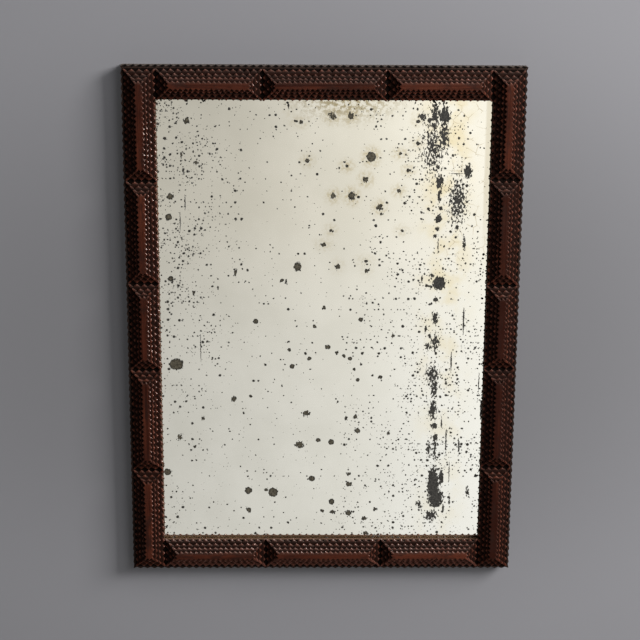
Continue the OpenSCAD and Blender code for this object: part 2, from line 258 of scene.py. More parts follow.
def flat_noise(tree, place, scale, detail=2.0, roughness=0.5):
    """Noise over a flat surface, from the first two axes of place."""
    return noise(tree, place, scale, detail=detail, roughness=roughness, dimensions="2D")


def times(tree, *values):
    """The product of two or more values."""
    product = values[0]
    for value in values[1:]:
        product = calc(tree, "MULTIPLY", product, value)
    return product


def most(tree, *values):
    """The largest of two or more values."""
    largest = values[0]
    for value in values[1:]:
        largest = calc(tree, "MAXIMUM", largest, value)
    return largest


def minus(tree, first, second):
    return calc(tree, "SUBTRACT", first, second)


def vector_length(tree, vector):
    return add(tree, "ShaderNodeVectorMath", {0: vector}, operation="LENGTH").outputs["Value"]


def vector_distance(tree, place, centre, stretch):
    """Distance from a centre, with each axis stretched."""
    offset = vector_calc(tree, "MULTIPLY", vector_calc(tree, "SUBTRACT", place, centre), stretch)
    return vector_length(tree, offset)


def drawn_out(tree, place, along, across):
    """Place for a noise that is drawn out along the first axis, with its fineness along and across."""
    return vector_calc(tree, "MULTIPLY", place, (along, across, across))


def normal_parts(tree):
    """The X, Y and Z of the way that the surface faces."""
    return separate(tree, add(tree, "ShaderNodeNewGeometry").outputs["Normal"])


def overlay(tree, colour, *coats):
    """A colour with coats laid over it in turn, each given as its share and its colour."""
    for share, coat in coats:
        colour = blend_colour(tree, share, colour, coat)
    return colour


def new_group(name, kind, inputs, outputs):
    """An empty node group with named sockets, and its input and output sockets."""
    tree = bpy.data.node_groups.new(name, kind)
    for in_out, sockets in (("INPUT", inputs), ("OUTPUT", outputs)):
        for socket_name, socket_type in sockets.items():
            tree.interface.new_socket(socket_name, in_out=in_out, socket_type="NodeSocket" + socket_type)
    return tree, tree.nodes.new("NodeGroupInput").outputs, tree.nodes.new("NodeGroupOutput").inputs


def new_material(name):
    """An empty node material, its tree and its shader."""
    material = bpy.data.materials.new(name)
    material.use_nodes = True
    tree = material.node_tree
    tree.nodes.clear()
    shader = tree.nodes.new("ShaderNodeBsdfPrincipled")
    output = tree.nodes.new("ShaderNodeOutputMaterial")
    tree.links.new(shader.outputs[0], output.inputs["Surface"])
    return material, tree, shader


def roughen(tree, shader, height, strength, distance):
    """Gives a shader fine relief from a height."""
    bump = add(tree, "ShaderNodeBump", {"Strength": strength, "Distance": distance, "Height": height})
    plug(tree, shader.inputs["Normal"], bump.outputs[0])


def mix_surface(tree, share, first, second):
    """Makes a material's surface the first shader, turning into the second by share."""
    mixed = add(tree, "ShaderNodeMixShader", {0: share, 1: first.outputs[0], 2: second.outputs[0]})
    output = next(node for node in tree.nodes if node.type == "OUTPUT_MATERIAL")
    tree.links.new(mixed.outputs[0], output.inputs["Surface"])


# Shared finishes

def wood_grain_group():
    """Streaks, patches and pores along a piece's own grain, which runs along the first axis of Place."""
    tree, given, result = new_group(
        "wood_grain", "ShaderNodeTree",
        {"Place": "Vector", "Tone": "Float", "Dark Wood": "Color", "Light Wood": "Color"},
        {"Color": "Color", "Height": "Float", "Streak": "Float"},
    )
    streak_place = drawn_out(tree, given["Place"], along=12.0, across=460.0)
    streak = noise(tree, streak_place, 1.0, detail=5.0, roughness=0.62, distortion=0.3)
    patch_place = drawn_out(tree, given["Place"], along=22.0, across=75.0)
    patch = noise(tree, patch_place, 1.0, detail=3.0)
    pore_place = drawn_out(tree, given["Place"], along=150.0, across=2400.0)
    pore = noise(tree, pore_place, 1.0, detail=1.0)
    pore = step(tree, pore, 0.58, 0.68)
    level = calc(tree, "MULTIPLY_ADD", minus(tree, streak, 0.5), 2.2, 0.42)
    level = calc(tree, "MULTIPLY_ADD", minus(tree, patch, 0.5), 1.5, level)
    level = calc(tree, "MULTIPLY_ADD", given["Tone"], 0.32, level, clamp=True)
    colour = blend_colour(tree, level, given["Dark Wood"], given["Light Wood"])
    colour = blend_colour(tree, times(tree, pore, 0.6), colour, given["Dark Wood"])
    plug(tree, result["Color"], colour)
    plug(tree, result["Height"], minus(tree, times(tree, streak, 0.5), pore))
    plug(tree, result["Streak"], streak)
    return tree


def settled_dust_group():
    """Dust on surfaces that look up, thinner on slopes, broken up by handling."""
    tree, given, result = new_group(
        "settled_dust", "ShaderNodeTree", {"Place": "Vector", "Amount": "Float"}, {"Mask": "Float"},
    )
    lying = step(tree, normal_parts(tree)["Z"], 0.6, 1.0)
    broken = step(tree, noise(tree, given["Place"], 260.0, detail=3.0), 0.3, 0.62, 0.35, 1.0)
    mask = calc(tree, "MULTIPLY", times(tree, lying, broken), given["Amount"], clamp=True)
    plug(tree, result["Mask"], mask)
    return tree


def tooth_wear_group():
    """Where a carved piece is rubbed and painted lighter at its teeth, dirty and painted with shade in its
    hollows, and dusty along its upper side.
    """
    tree, given, result = new_group(
        "tooth_wear", "ShaderNodeTree",
        {
            "Place": "Vector", "From Middle": "Vector", "Half Size": "Vector", "Covered": "Float",
            "Shelter": "Float",
        },
        {"Tip": "Float", "Hollow Dirt And Shade": "Float", "Upper Side": "Float", "Lower Side": "Float"},
    )
    half_height = separate(tree, given["Half Size"])["Z"]
    height = separate(tree, given["From Middle"])["Z"]
    from_top = minus(tree, half_height, height)
    from_foot = calc(tree, "ADD", half_height, height)
    off_middle = vector_calc(tree, "ABSOLUTE", given["From Middle"])
    from_side = separate(tree, vector_calc(tree, "SUBTRACT", given["Half Size"], off_middle))
    inward = calc(tree, "MINIMUM", from_side["X"], from_side["Z"])
    uneven = minus(tree, noise(tree, given["Place"], 300.0, detail=2.0), 0.5)
    inward = calc(tree, "MULTIPLY_ADD", uneven, 1.8 * MM, inward)

    # Painted highlight: the tips are painted lighter, partly real wear and partly the glints of light on
    # them; less at the stile blocks' upper ends and near the corners
    upper_end = step(tree, from_top, 5.0 * MM, 3.5 * MM)
    tip_share = minus(tree, 1.0, times(tree, upper_end, given["Shelter"]))
    from_corner = most(tree, from_side["X"], from_side["Z"])
    tip_share = times(tree, tip_share, step(tree, from_corner, 1.5 * MM, 5.0 * MM, 0.4, 1.0))
    plug(tree, result["Tip"], times(tree, step(tree, inward, 1.4 * MM, 0.4 * MM), tip_share))

    plug(tree, result["Upper Side"], step(tree, from_top, 4.5 * MM, 1.0 * MM))
    plug(tree, result["Lower Side"], step(tree, from_foot, 6.0 * MM, 3.5 * MM))

    # Painted shade: deep inside a layer's outline, on covered layers and on notch walls, partly dirt and
    # partly the shade that falls there
    to_front = calc(tree, "ABSOLUTE", normal_parts(tree)["Y"])
    recessed = most(tree, given["Covered"], step(tree, to_front, 0.6, 0.3))
    shade_share = times(tree, recessed, step(tree, from_foot, 1.5 * MM, 5.0 * MM, 0.45, 1.0))
    plug(tree, result["Hollow Dirt And Shade"], times(tree, step(tree, inward, 0.9 * MM, 2.8 * MM), shade_share))
    return tree


def speck_group():
    """Scattered round specks: one at most in each cell of a jittered grid, of random size."""
    tree, given, result = new_group(
        "silver_specks", "ShaderNodeTree",
        {"Place": "Vector", "Cell Size": "Float", "Largest": "Float", "Share": "Float"}, {"Mask": "Float"},
    )
    scale = calc(tree, "DIVIDE", 1.0, given["Cell Size"])
    cells = add(
        tree, "ShaderNodeTexVoronoi", {"Vector": given["Place"], "Scale": scale, "Randomness": 1.0},
        voronoi_dimensions="2D", feature="F1",
    ).outputs
    chance = add(tree, "ShaderNodeSeparateColor", {0: cells["Color"]}).outputs
    there = calc(tree, "LESS_THAN", chance[1], given["Share"])
    size = calc(tree, "MULTIPLY_ADD", calc(tree, "POWER", chance[0], 2.0), 0.6, 0.4)
    inside = minus(tree, times(tree, size, given["Largest"]), cells["Distance"])
    plug(tree, result["Mask"], times(tree, step(tree, inside, -0.03, 0.06), there))
    return tree


def patch_group():
    """How deep inside a bare patch a point lies, in metres, negative outside it."""
    tree, given, result = new_group(
        "bare_patch", "ShaderNodeTree",
        {
            "Place": "Vector", "Roughening": "Float", "Centre": "Vector", "Half Size": "Vector",
            "Least": "Float", "Raggedness": "Float",
        },
        {"Depth": "Float"},
    )
    offset = vector_calc(tree, "SUBTRACT", given["Place"], given["Centre"])
    offset = vector_calc(tree, "DIVIDE", offset, given["Half Size"])
    inside = minus(tree, 1.0, vector_length(tree, offset))
    depth = calc(tree, "MULTIPLY_ADD", given["Roughening"], given["Raggedness"], inside)
    plug(tree, result["Depth"], times(tree, depth, given["Least"]))
    return tree


WOOD_GRAIN = wood_grain_group()
SETTLED_DUST = settled_dust_group()
TOOTH_WEAR = tooth_wear_group()
SILVER_SPECKS = speck_group()
BARE_PATCH = patch_group()


def grouped(tree, group, **inputs):
    """The outputs of a node that holds the group; underscores in input names stand for spaces."""
    named = {name.replace("_", " "): value for name, value in inputs.items()}
    return add(tree, "ShaderNodeGroup", named, node_tree=group).outputs


# Materials

def carved_wood():
    """Dark red-brown cigar-box wood under old shellac, with rubbed teeth painted lighter as a highlight,
    hollows painted dark with dirt and shade, and some dust.
    """
    dark_wood = (0.026, 0.0058, 0.0034)
    light_wood = (0.099, 0.0248, 0.0128)
    old_grime = (0.020, 0.0085, 0.0068)
    hollow_dirt_and_shade = (0.005, 0.0014, 0.0010)
    rubbed_tip_highlight = (0.21, 0.066, 0.042)
    lighter_lower_side = (0.13, 0.048, 0.035)
    grey_dust = (0.31, 0.24, 0.21)
    material, tree, shader = new_material("carved_wood")

    def own(trait, output="Fac"):
        """What an attribute of the piece says."""
        return add(tree, "ShaderNodeAttribute", attribute_name=trait).outputs[output]

    place = own("grain_place", "Vector")
    end_shade = own("end_shade")
    wood = grouped(
        tree, WOOD_GRAIN, Place=place, Tone=own("tone"), Dark_Wood=dark_wood, Light_Wood=light_wood,
    )
    wear = grouped(
        tree, TOOTH_WEAR, Place=place, From_Middle=own("from_middle", "Vector"),
        Half_Size=own("half_size", "Vector"), Covered=own("covered"), Shelter=end_shade,
    )
    grime_place = drawn_out(tree, place, along=65.0, across=170.0)
    grime = noise(tree, grime_place, 1.0, detail=4.0, roughness=0.6)
    lower_side_lightened = times(tree, wear["Lower Side"], own("lower_side_lightened"))
    # Painted shade: less dust at the stile blocks' upper ends, the further down the frame
    open_share = calc(tree, "MULTIPLY_ADD", end_shade, -0.3, 0.4)
    lying = grouped(tree, SETTLED_DUST, Place=place, Amount=open_share)["Mask"]
    clinging = calc(tree, "MULTIPLY_ADD", end_shade, -0.06, 0.065)
    dust = calc(tree, "MULTIPLY_ADD", wear["Upper Side"], clinging, lying, clamp=True)
    colour = overlay(
        tree, wood["Color"],
        (step(tree, grime, 0.48, 0.66, 0.0, 0.65), old_grime),
        # Painted shade, with dirt, in the hollows
        (times(tree, wear["Hollow Dirt And Shade"], 0.9), hollow_dirt_and_shade),
        # Painted highlight, with wear, at the tips
        (times(tree, wear["Tip"], 0.5), rubbed_tip_highlight),
        # Lighter along the lower side of the bottom blocks' covered layers
        (times(tree, lower_side_lightened, 0.55), lighter_lower_side),
        (dust, grey_dust),
    )
    plug(tree, shader.inputs["Base Color"], colour)
    roughness = step(tree, noise(tree, place, 90.0, detail=3.0), 0.3, 0.75, 0.42, 0.54)
    roughness = calc(tree, "MULTIPLY_ADD", wear["Hollow Dirt And Shade"], 0.35, roughness)
    roughness = calc(tree, "MULTIPLY_ADD", dust, 0.4, roughness, clamp=True)
    plug(tree, shader.inputs["Roughness"], roughness)
    shader.inputs["Specular IOR Level"].default_value = 0.2
    shader.inputs["Specular Tint"].default_value = (1.0, 0.7, 0.58, 1.0)
    polish = times(tree, wear["Tip"], own("polish"), minus(tree, 1.0, dust))
    plug(tree, shader.inputs["Coat Weight"], polish)
    shader.inputs["Coat Roughness"].default_value = 0.3
    roughen(tree, shader, wood["Height"], strength=0.3, distance=0.3 * MM)
    return material


def sight_edge_mask(tree, place):
    """Where a point lies on the base boards' lips round the mirror."""
    lip_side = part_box("right_stile")[0].x
    lip_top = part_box("top_rail")[0].z
    lip_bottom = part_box("bottom_rail")[1].z
    flat = separate(tree, place)
    across = step(tree, calc(tree, "ABSOLUTE", flat["X"]), lip_side + 0.3 * MM, lip_side + 0.1 * MM)
    below = step(tree, flat["Z"], lip_top + 0.3 * MM, lip_top + 0.1 * MM)
    above = step(tree, flat["Z"], lip_bottom - 0.3 * MM, lip_bottom - 0.1 * MM)
    return times(tree, across, below, above)


def edge_shade_mask(tree, place):
    """Where the boards are painted with shade: in the chips or at the back of their outer edges, or between
    blocks.
    """
    low, high = cad_box
    flat = separate(tree, place)
    inward = minus(tree, high[0], calc(tree, "ABSOLUTE", flat["X"]))
    inward = calc(tree, "MINIMUM", inward, minus(tree, high[2], flat["Z"]))
    inward = calc(tree, "MINIMUM", inward, minus(tree, flat["Z"], low[2]))
    edge = step(tree, calc(tree, "ABSOLUTE", normal_parts(tree)["Y"]), 0.85, 0.5)
    chip = step(tree, inward, 0.01 * MM, 0.13 * MM)
    at_back = step(tree, flat["Y"], -6.0 * MM, -1.0 * MM, 0.0, 0.4)
    between_blocks = step(tree, inward, 1.6 * MM, 2.6 * MM)
    return most(tree, times(tree, most(tree, chip, at_back), edge), between_blocks)


def base_wood(name, grain_turn):
    """Stained wood of the base boards: shellacked outside, painted with shade in the edge chips, at the
    back of the edges and between blocks, browner at the sight edge, bare behind.
    """
    stained_dark = (0.018, 0.0105, 0.0085)
    stained_light = (0.056, 0.0360, 0.0295)
    bare_dark = (0.13, 0.075, 0.042)
    bare_light = (0.33, 0.21, 0.125)
    back_grime = (0.055, 0.035, 0.022)
    grey_dust = (0.25, 0.21, 0.19)
    chip_shade = (0.003, 0.0015, 0.0012)
    sight_edge_brown = (0.115, 0.064, 0.040)
    material, tree, shader = new_material(name)
    upright = add(tree, "ShaderNodeTexCoord").outputs["Object"]
    place = add(tree, "ShaderNodeMapping", {"Vector": upright, "Rotation": grain_turn}).outputs[0]
    stained = grouped(
        tree, WOOD_GRAIN, Place=place, Tone=-0.1, Dark_Wood=stained_dark, Light_Wood=stained_light,
    )
    bare = grouped(tree, WOOD_GRAIN, Place=place, Tone=0.1, Dark_Wood=bare_dark, Light_Wood=bare_light)
    grime = step(tree, noise(tree, place, 14.0, detail=4.0), 0.35, 0.75, 0.0, 0.55)
    aged = blend_colour(tree, grime, bare["Color"], back_grime)
    colour = overlay(
        tree, stained["Color"],
        (grouped(tree, SETTLED_DUST, Place=place, Amount=0.75)["Mask"], grey_dust),
        # Painted shade in the edge chips, at the back of the edges and between blocks
        (edge_shade_mask(tree, upright), chip_shade),
        (step(tree, normal_parts(tree)["Y"], 0.4, 0.8), aged),
        (sight_edge_mask(tree, upright), sight_edge_brown),
    )
    plug(tree, shader.inputs["Base Color"], colour)
    plug(tree, shader.inputs["Roughness"], step(tree, stained["Streak"], 0.2, 0.8, 0.55, 0.75))
    shader.inputs["Specular IOR Level"].default_value = 0.12
    shader.inputs["Specular Tint"].default_value = (1.0, 0.72, 0.6, 1.0)
    roughen(tree, shader, stained["Height"], strength=0.4, distance=0.4 * MM)
    return material


def back_wood():
    """A thin, dry, browned back board with water marks."""
    dark_wood = (0.10, 0.058, 0.032)
    light_wood = (0.30, 0.19, 0.105)
    water_mark = (0.06, 0.035, 0.02)
    material, tree, shader = new_material("back_wood")
    place = add(tree, "ShaderNodeTexCoord").outputs["Object"]
    upright = add(tree, "ShaderNodeMapping", {"Vector": place, "Rotation": GRAIN_UP}).outputs[0]
    wood = grouped(tree, WOOD_GRAIN, Place=upright, Tone=0.0, Dark_Wood=dark_wood, Light_Wood=light_wood)
    mark = noise(tree, place, 7.0, detail=5.0, roughness=0.6)
    ring = step(tree, calc(tree, "ABSOLUTE", minus(tree, mark, 0.55)), 0.0, 0.03, 0.5, 0.0)
    damp = step(tree, mark, 0.52, 0.6, 0.0, 0.3)
    colour = blend_colour(tree, most(tree, ring, damp), wood["Color"], water_mark)
    plug(tree, shader.inputs["Base Color"], colour)
    plug(tree, shader.inputs["Roughness"], step(tree, wood["Streak"], 0.2, 0.8, 0.62, 0.85))
    shader.inputs["Specular IOR Level"].default_value = 0.25
    roughen(tree, shader, wood["Height"], strength=0.5, distance=0.4 * MM)
    return material


def old_metal(name, bright, dull, roughness):
    """Metal gone dull in patches."""
    material, tree, shader = new_material(name)
    place = add(tree, "ShaderNodeTexCoord").outputs["Object"]
    tarnish = step(tree, noise(tree, place, 420.0, detail=4.0, roughness=0.65), 0.38, 0.66)
    plug(tree, shader.inputs["Base Color"], blend_colour(tree, tarnish, bright, dull))
    plug(tree, shader.inputs["Roughness"], calc(tree, "MULTIPLY_ADD", tarnish, 0.3, roughness))
    plug(tree, shader.inputs["Metallic"], calc(tree, "MULTIPLY_ADD", tarnish, -0.35, 1.0))
    scratch_place = vector_calc(tree, "MULTIPLY", place, (900.0, 900.0, 4200.0))
    scratches = noise(tree, scratch_place, 1.0, detail=2.0)
    roughen(tree, shader, scratches, strength=0.25, distance=0.05 * MM)
    return material


# In the silver's masks, across and up are in metres from the frame's middle

def patch_depth(tree, place, roughening, patches):
    """How deep inside the nearest of the patches a point lies, in metres."""
    depths = [
        grouped(
            tree, BARE_PATCH, Place=place, Roughening=roughening, Centre=(x * MM, z * MM, 0.0),
            Half_Size=(half_width * MM, half_height * MM, 1.0), Least=min(half_width, half_height) * MM,
            Raggedness=raggedness,
        )["Depth"]
        for x, z, half_width, half_height, raggedness in patches
    ]
    return most(tree, *depths)


def speck_mask(tree, across, up, place):
    """Pitted specks: thick on the left, most of all high up, and again on the right."""
    left = times(tree, step(tree, across, -0.155, -0.05, 1.05, 0.0), step(tree, up, -0.09, 0.06, 0.35, 1.1))
    corner = times(tree, step(tree, across, 0.125, 0.145), step(tree, up, 0.04, 0.12, 0.0, 0.65))
    right = times(tree, step(tree, across, -0.03, 0.10, 0.0, 0.62), step(tree, up, 0.13, -0.1, 0.8, 1.3))
    right = times(tree, right, minus(tree, 1.0, corner))
    clusters = step(tree, flat_noise(tree, place, 26.0), 0.38, 0.64, 0.2, 1.0)
    crowding = times(tree, most(tree, left, right, LEAST_CROWDING), clusters)
    masks = []
    for cell, largest, share, darkness in SPECKS:
        found = grouped(
            tree, SILVER_SPECKS, Place=place, Cell_Size=cell, Largest=largest,
            Share=times(tree, crowding, share),
        )["Mask"]
        masks.append(times(tree, found, darkness))
    return most(tree, *masks)


def stained_silver(tree, across, up, place, halo):
    """Ivory silver with haze, yellowed rings, cloudy stains, fine cracks and a grey band of painted shade
    along the right sight edge, high up.
    """
    dim_ivory = (0.87, 0.865, 0.815)
    bright_ivory = (0.94, 0.935, 0.89)
    clear_silver = (0.975, 0.98, 0.955)
    ring_brown = (0.66, 0.60, 0.45)
    top_stain = (0.42, 0.36, 0.22)
    strip_yellow = (0.88, 0.80, 0.58)
    crack_brown = (0.50, 0.42, 0.28)
    sight_shade_grey = (0.75, 0.72, 0.63)

    haze = step(tree, flat_noise(tree, place, 11.0, detail=5.0, roughness=0.6), 0.3, 0.7)
    clear = times(tree, step(tree, across, 0.02, 0.12), step(tree, up, 0.15, -0.15, 0.4, 0.9))

    upper_middle = vector_distance(tree, place, (0.035, 0.165, 0.0), (1.0, 0.7, 1.0))
    grimy = flat_noise(tree, place, 330.0, detail=3.0, roughness=0.65)
    ring = times(tree, step(tree, upper_middle, 0.11, 0.02), halo)
    ring = calc(tree, "MULTIPLY", ring, step(tree, grimy, 0.4, 0.62, 0.2, 1.0), clamp=True)

    top_middle = vector_distance(tree, place, (0.022, 0.226, 0.0), (0.45, 1.0, 1.0))
    mottle = flat_noise(tree, place, 240.0, detail=4.0, roughness=0.7)
    mottled = times(tree, step(tree, top_middle, 0.034, 0.004), step(tree, mottle, 0.42, 0.6))

    from_strip = calc(tree, "ABSOLUTE", minus(tree, across, 0.118))
    cloud = flat_noise(tree, place, 34.0, detail=4.0, roughness=0.6)
    cloudy = times(tree, step(tree, from_strip, 0.036, 0.006), step(tree, up, -0.15, 0.15, 0.35, 0.9))
    cloudy = times(tree, cloudy, step(tree, cloud, 0.38, 0.72))

    edges = add(
        tree, "ShaderNodeTexVoronoi", {"Vector": place, "Scale": 90.0, "Randomness": 1.0},
        voronoi_dimensions="2D", feature="DISTANCE_TO_EDGE",
    ).outputs["Distance"]
    cracked = times(tree, step(tree, across, 0.108, 0.128), step(tree, up, 0.03, 0.09))
    broken = step(tree, flat_noise(tree, place, 60.0, detail=3.0), 0.45, 0.62)
    crack = times(tree, step(tree, edges, 0.045, 0.0), cracked, broken)

    # Painted shade: a grey band along the right sight edge, high up
    sight_shade = times(tree, step(tree, across, 0.1525, 0.1550), step(tree, up, 0.06, 0.14, 0.0, 0.85))
    return overlay(
        tree, dim_ivory,
        (haze, bright_ivory), (clear, clear_silver), (ring, ring_brown), (mottled, top_stain),
        (cloudy, strip_yellow), (times(tree, crack, 0.7), crack_brown), (sight_shade, sight_shade_grey),
    )


def spotted_silver():
    """Old mirror silver, stained, with specks, bare patches and scratches where it has gone."""
    olive_dark = (0.055, 0.047, 0.032)
    olive_light = (0.130, 0.116, 0.083)
    slate_dark = (0.027, 0.026, 0.024)
    slate_light = (0.066, 0.063, 0.057)
    patch_rim = (0.027, 0.025, 0.020)
    material, tree, shader = new_material("spotted_silver")
    flat = separate(tree, add(tree, "ShaderNodeTexCoord").outputs["Object"])
    across = flat["X"]
    up = flat["Z"]
    place = combine(tree, across, up, 0.0)
    wobble = add(tree, "ShaderNodeTexNoise", {"Vector": place, "Scale": 420.0, "Detail": 2.0})
    wobble = vector_calc(tree, "SUBTRACT", wobble.outputs["Color"], (0.5, 0.5, 0.5))
    wobble = vector_calc(tree, "MULTIPLY", wobble, (1.6 * MM, 1.6 * MM, 0.0))
    shaken = vector_calc(tree, "ADD", place, wobble)
    fibre = vector_calc(tree, "MULTIPLY", place, (520.0, 300.0, 1.0))
    roughening = flat_noise(tree, fibre, 1.0, roughness=0.6)
    roughening = calc(tree, "MULTIPLY_ADD", roughening, 5.0, -2.5)

    spots = patch_depth(tree, shaken, roughening, SPOTS)
    strip = patch_depth(tree, shaken, roughening, STRIP)
    scratches = patch_depth(tree, shaken, roughening, SCRATCHES)
    depth = most(tree, spots, strip, scratches)
    gone = most(tree, step(tree, depth, -0.1 * MM, 0.25 * MM), speck_mask(tree, across, up, shaken))

    silver = stained_silver(tree, across, up, shaken, step(tree, spots, -9.0 * MM, 0.5 * MM))
    mottle = step(tree, flat_noise(tree, place, 520.0, detail=3.0, roughness=0.65), 0.38, 0.62)
    backing = overlay(
        tree, blend_colour(tree, mottle, olive_dark, olive_light),
        (step(tree, across, 0.07, 0.10), blend_colour(tree, mottle, slate_dark, slate_light)),
        (step(tree, depth, 1.5 * MM, 0.5 * MM), patch_rim),
    )
    plug(tree, shader.inputs["Base Color"], blend_colour(tree, gone, silver, backing))
    plug(tree, shader.inputs["Metallic"], minus(tree, 1.0, gone))
    plug(tree, shader.inputs["Roughness"], times(tree, gone, 0.45))
    shader.inputs["Coat Weight"].default_value = 0.6
    shader.inputs["Coat Roughness"].default_value = 0.02
    return material


# Carved layers, made by Geometry Nodes

def notched_side_tree():
    """A line of points along X: a corner, then tips and valleys in turn, cut unevenly towards +Y."""
    tree, given, result = new_group(
        "notched_side", "GeometryNodeTree",
        {
            "Length": "Float", "Notches": "Int", "Depth": "Float", "Corner Land": "Float",
            "Unevenness": "Float", "Seed": "Int",
        },
        {"Geometry": "Geometry"},
    )
    last = calc(tree, "MULTIPLY_ADD", given["Notches"], 2.0, 2.0)
    line = add(tree, "GeometryNodeMeshLine", {"Count": calc(tree, "ADD", last, 1.0)}, mode="OFFSET")
    index = tree.nodes.new("GeometryNodeInputIndex").outputs[0]
    half = times(tree, given["Length"], 0.5)
    run = calc(tree, "MULTIPLY_ADD", given["Corner Land"], -2.0, given["Length"])
    half_pitch = calc(tree, "DIVIDE", run, times(tree, given["Notches"], 2.0))
    along = calc(tree, "MULTIPLY_ADD", minus(tree, index, 1.0), half_pitch, given["Corner Land"])
    along = minus(tree, along, half)
    along = calc(tree, "MINIMUM", most(tree, along, times(tree, half, -1.0)), half)
    after_first = calc(tree, "GREATER_THAN", index, 0.5)
    inner = times(tree, after_first, calc(tree, "LESS_THAN", index, minus(tree, last, 0.5)))
    odd = calc(tree, "MODULO", index, 2.0)
    valley = times(tree, inner, minus(tree, 1.0, odd))

    def hand(shift):
        """A random number for each point, up to Unevenness either way; shift sets the draws apart."""
        made = add(tree, "FunctionNodeRandomValue", data_type="FLOAT")
        made.inputs[2].default_value = -1.0
        made.inputs[3].default_value = 1.0
        plug(tree, made.inputs["ID"], index)
        plug(tree, made.inputs["Seed"], calc(tree, "ADD", given["Seed"], shift))
        return times(tree, made.outputs[1], given["Unevenness"])

    drift = times(tree, hand(0.0), half_pitch, inner)
    cut = times(tree, calc(tree, "ADD", hand(100.0), 1.0), times(tree, valley, given["Depth"]))
    blunt = times(tree, calc(tree, "ABSOLUTE", hand(200.0)), times(tree, inner, given["Depth"]))
    place = combine(tree, calc(tree, "ADD", along, drift), calc(tree, "ADD", cut, blunt), 0.0)
    cut_line = add(tree, "GeometryNodeSetPosition", {"Geometry": line.outputs[0], "Position": place})
    plug(tree, result["Geometry"], cut_line.outputs[0])
    return tree


def carved_layer_tree(side_tree):
    """A thin board with V notches all round, its back on the XZ plane through Centre and its face to -Y."""
    tree, given, result = new_group(
        "carved_layer", "GeometryNodeTree",
        {
            "Width": "Float", "Height": "Float", "Thickness": "Float",
            "Notches Across": "Int", "Notches Up": "Int", "Notch Depth": "Float",
            "Corner Land": "Float", "Slant": "Float", "Slant Depth": "Float",
            "Unevenness": "Float", "Seed": "Int", "Centre": "Vector", "Turn": "Float", "Wood": "Material",
        },
        {"Geometry": "Geometry"},
    )
    outline = tree.nodes.new("GeometryNodeJoinGeometry")
    merge_distance = 0.01 * MM
    sides = (("Width", "Notches Across", "Height"), ("Height", "Notches Up", "Width"))
    for number, (length, notches, out) in enumerate(sides * 2):
        side = add(tree, "GeometryNodeGroup", {
            "Length": given[length], "Notches": given[notches], "Depth": given["Notch Depth"],
            "Corner Land": given["Corner Land"], "Unevenness": given["Unevenness"],
            "Seed": calc(tree, "MULTIPLY_ADD", given["Seed"], 4.0, float(number)),
        }, node_tree=side_tree)
        turn = number * math.pi / 2
        outward = combine(tree, round(math.sin(turn)), -round(math.cos(turn)), 0.0)
        shift = add(tree, "ShaderNodeVectorMath", {0: outward}, operation="SCALE")
        plug(tree, shift.inputs["Scale"], times(tree, given[out], 0.5))
        placed = add(tree, "GeometryNodeTransform", {
            "Geometry": side.outputs[0], "Translation": shift.outputs[0], "Rotation": (0.0, 0.0, turn),
        })
        tree.links.new(placed.outputs[0], outline.inputs[0])
    loop = add(tree, "GeometryNodeMergeByDistance", {
        "Geometry": outline.outputs[0], "Distance": merge_distance,
    })
    curve = add(tree, "GeometryNodeMeshToCurve", {"Mesh": loop.outputs[0]})
    face = add(tree, "GeometryNodeFillCurve", {"Curve": curve.outputs[0]}, mode="NGONS")
    walls = add(tree, "GeometryNodeExtrudeMesh", {
        "Mesh": face.outputs[0], "Individual": False,
        "Offset Scale": minus(tree, given["Thickness"], given["Slant Depth"]),
    }, mode="FACES")
    slant = add(tree, "GeometryNodeExtrudeMesh", {
        "Mesh": walls.outputs["Mesh"], "Selection": walls.outputs["Top"], "Individual": False,
        "Offset Scale": given["Slant Depth"],
    }, mode="FACES")
    place = separate(tree, tree.nodes.new("GeometryNodeInputPosition").outputs[0])

    def drawn_in(along, size):
        """How far a point of the front edge moves inward, if it belongs to the sides across this axis."""
        side = calc(tree, "MULTIPLY_ADD", given["Notch Depth"], -SIDE_REACH, times(tree, size, 0.5))
        belongs = calc(tree, "GREATER_THAN", calc(tree, "ABSOLUTE", along), side)
        inward = times(tree, calc(tree, "SIGN", along), times(tree, given["Slant"], -1.0))
        return times(tree, belongs, inward)

    drawn = combine(tree, drawn_in(place["X"], given["Width"]), drawn_in(place["Y"], given["Height"]), 0.0)
    front = add(tree, "GeometryNodeSetPosition", {
        "Geometry": slant.outputs["Mesh"], "Selection": slant.outputs["Top"], "Offset": drawn,
    })
    back = add(tree, "GeometryNodeFlipFaces", {"Mesh": face.outputs[0]})
    both = tree.nodes.new("GeometryNodeJoinGeometry")
    tree.links.new(front.outputs[0], both.inputs[0])
    tree.links.new(back.outputs[0], both.inputs[0])
    solid = add(tree, "GeometryNodeMergeByDistance", {
        "Geometry": both.outputs[0], "Distance": merge_distance,
    })
    turned = add(tree, "GeometryNodeTransform", {
        "Geometry": solid.outputs[0], "Rotation": combine(tree, 0.0, 0.0, given["Turn"]),
    })
    upright = add(tree, "GeometryNodeTransform", {
        "Geometry": turned.outputs[0], "Rotation": (math.pi / 2, 0.0, 0.0), "Translation": given["Centre"],
    })
    real = add(tree, "GeometryNodeRealizeInstances", {"Geometry": upright.outputs[0]})
    dressed = add(tree, "GeometryNodeSetMaterial", {"Geometry": real.outputs[0], "Material": given["Wood"]})
    plug(tree, result["Geometry"], dressed.outputs[0])
    return tree


def set_inputs(modifier, values):
    """Sets a Geometry Nodes modifier's inputs by their sockets' identifiers."""
    for item in modifier.node_group.interface.items_tree:
        if item.item_type == "SOCKET" and item.in_out == "INPUT":
            modifier[item.identifier] = values[item.name]


def notch_count(length, pitch):
    return max(1, round((length - 2 * CORNER_LAND) / pitch))


